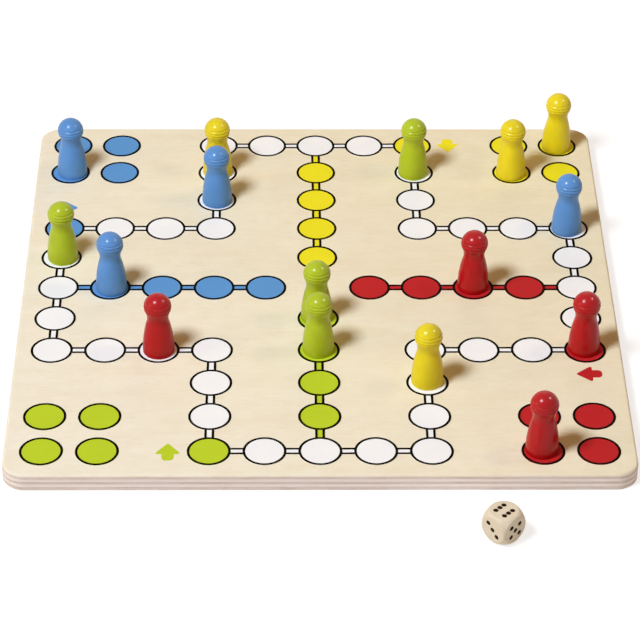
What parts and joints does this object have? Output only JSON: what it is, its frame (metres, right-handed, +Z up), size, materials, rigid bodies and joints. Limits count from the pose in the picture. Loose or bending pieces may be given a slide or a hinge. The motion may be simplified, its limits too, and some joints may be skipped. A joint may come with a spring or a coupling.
{
  "type": "ludo board",
  "caption": "Square plywood ludo board with a printed cross-shaped track, coloured start, home and base fields, loose turned wooden pawns and a rounded wooden die.",
  "frame": {"origin": "centre of the board's underside, at the height of the table it lies on", "axes": "+Z up out of the printed face, +X to the right and +Y to the far edge, seen from the side where the die lies"},
  "size_m": [0.3, 0.3424, 0.0428],
  "materials": {
    "face_wood": "clear matt varnish over pale birch veneer",
    "cross_wood": "raw cut edge",
    "core_wood": "raw cut edge",
    "white_ink": "screen-printed ink film, satin",
    "black_ink": "screen-printed ink film, satin",
    "green_ink": "screen-printed ink film, satin",
    "red_ink": "screen-printed ink film, satin",
    "yellow_ink": "screen-printed ink film, satin",
    "blue_ink": "screen-printed ink film, satin",
    "green_lacquer": "gloss coloured lacquer on turned wood",
    "red_lacquer": "gloss coloured lacquer on turned wood",
    "yellow_lacquer": "gloss coloured lacquer on turned wood",
    "blue_lacquer": "gloss coloured lacquer on turned wood",
    "die_wood": "clear satin lacquer",
    "pip_paint": "dark paint in the recesses"
  },
  "bodies": {
    "board": {"top_veneer": "face_wood", "upper_crossband": "cross_wood", "core_ply": "core_wood", "lower_crossband": "cross_wood", "back_veneer": "face_wood", "white_track_ink": "white_ink", "green_field_ink": "green_ink", "red_field_ink": "red_ink", "yellow_field_ink": "yellow_ink", "blue_field_ink": "blue_ink", "outline_ink": "black_ink", "green_start_arrow": "green_ink", "red_start_arrow": "red_ink", "yellow_start_arrow": "yellow_ink", "blue_start_arrow": "blue_ink"},
    "green_pawn_1": {"green_pawn_1": "green_lacquer"},
    "green_pawn_2": {"green_pawn_2": "green_lacquer"},
    "green_pawn_3": {"green_pawn_3": "green_lacquer"},
    "green_pawn_4": {"green_pawn_4": "green_lacquer"},
    "red_pawn_1": {"red_pawn_1": "red_lacquer"},
    "red_pawn_2": {"red_pawn_2": "red_lacquer"},
    "red_pawn_3": {"red_pawn_3": "red_lacquer"},
    "red_pawn_4": {"red_pawn_4": "red_lacquer"},
    "yellow_pawn_1": {"yellow_pawn_1": "yellow_lacquer"},
    "yellow_pawn_2": {"yellow_pawn_2": "yellow_lacquer"},
    "yellow_pawn_3": {"yellow_pawn_3": "yellow_lacquer"},
    "yellow_pawn_4": {"yellow_pawn_4": "yellow_lacquer"},
    "blue_pawn_1": {"blue_pawn_1": "blue_lacquer"},
    "blue_pawn_2": {"blue_pawn_2": "blue_lacquer"},
    "blue_pawn_3": {"blue_pawn_3": "blue_lacquer"},
    "blue_pawn_4": {"blue_pawn_4": "blue_lacquer"},
    "die": {"die_cube": "die_wood", "die_pips": "pip_paint"}
  },
  "joints": [
    {"name": "green_pawn_1_lift", "type": "slide", "parent": "board", "child": "green_pawn_1", "axis": [0, 0, 1], "range_m": [0, 0.06]},
    {"name": "green_pawn_2_lift", "type": "slide", "parent": "board", "child": "green_pawn_2", "axis": [0, 0, 1], "range_m": [0, 0.06]},
    {"name": "green_pawn_3_lift", "type": "slide", "parent": "board", "child": "green_pawn_3", "axis": [0, 0, 1], "range_m": [0, 0.06]},
    {"name": "green_pawn_4_lift", "type": "slide", "parent": "board", "child": "green_pawn_4", "axis": [0, 0, 1], "range_m": [0, 0.06]},
    {"name": "red_pawn_1_lift", "type": "slide", "parent": "board", "child": "red_pawn_1", "axis": [0, 0, 1], "range_m": [0, 0.06]},
    {"name": "red_pawn_2_lift", "type": "slide", "parent": "board", "child": "red_pawn_2", "axis": [0, 0, 1], "range_m": [0, 0.06]},
    {"name": "red_pawn_3_lift", "type": "slide", "parent": "board", "child": "red_pawn_3", "axis": [0, 0, 1], "range_m": [0, 0.06]},
    {"name": "red_pawn_4_lift", "type": "slide", "parent": "board", "child": "red_pawn_4", "axis": [0, 0, 1], "range_m": [0, 0.06]},
    {"name": "yellow_pawn_1_lift", "type": "slide", "parent": "board", "child": "yellow_pawn_1", "axis": [0, 0, 1], "range_m": [0, 0.06]},
    {"name": "yellow_pawn_2_lift", "type": "slide", "parent": "board", "child": "yellow_pawn_2", "axis": [0, 0, 1], "range_m": [0, 0.06]},
    {"name": "yellow_pawn_3_lift", "type": "slide", "parent": "board", "child": "yellow_pawn_3", "axis": [0, 0, 1], "range_m": [0, 0.06]},
    {"name": "yellow_pawn_4_lift", "type": "slide", "parent": "board", "child": "yellow_pawn_4", "axis": [0, 0, 1], "range_m": [0, 0.06]},
    {"name": "blue_pawn_1_lift", "type": "slide", "parent": "board", "child": "blue_pawn_1", "axis": [0, 0, 1], "range_m": [0, 0.06]},
    {"name": "blue_pawn_2_lift", "type": "slide", "parent": "board", "child": "blue_pawn_2", "axis": [0, 0, 1], "range_m": [0, 0.06]},
    {"name": "blue_pawn_3_lift", "type": "slide", "parent": "board", "child": "blue_pawn_3", "axis": [0, 0, 1], "range_m": [0, 0.06]},
    {"name": "blue_pawn_4_lift", "type": "slide", "parent": "board", "child": "blue_pawn_4", "axis": [0, 0, 1], "range_m": [0, 0.06]},
    {"name": "die_lift", "type": "slide", "parent": "board", "child": "die", "axis": [0, 0, 1], "range_m": [0, 0.08]}
  ]
}
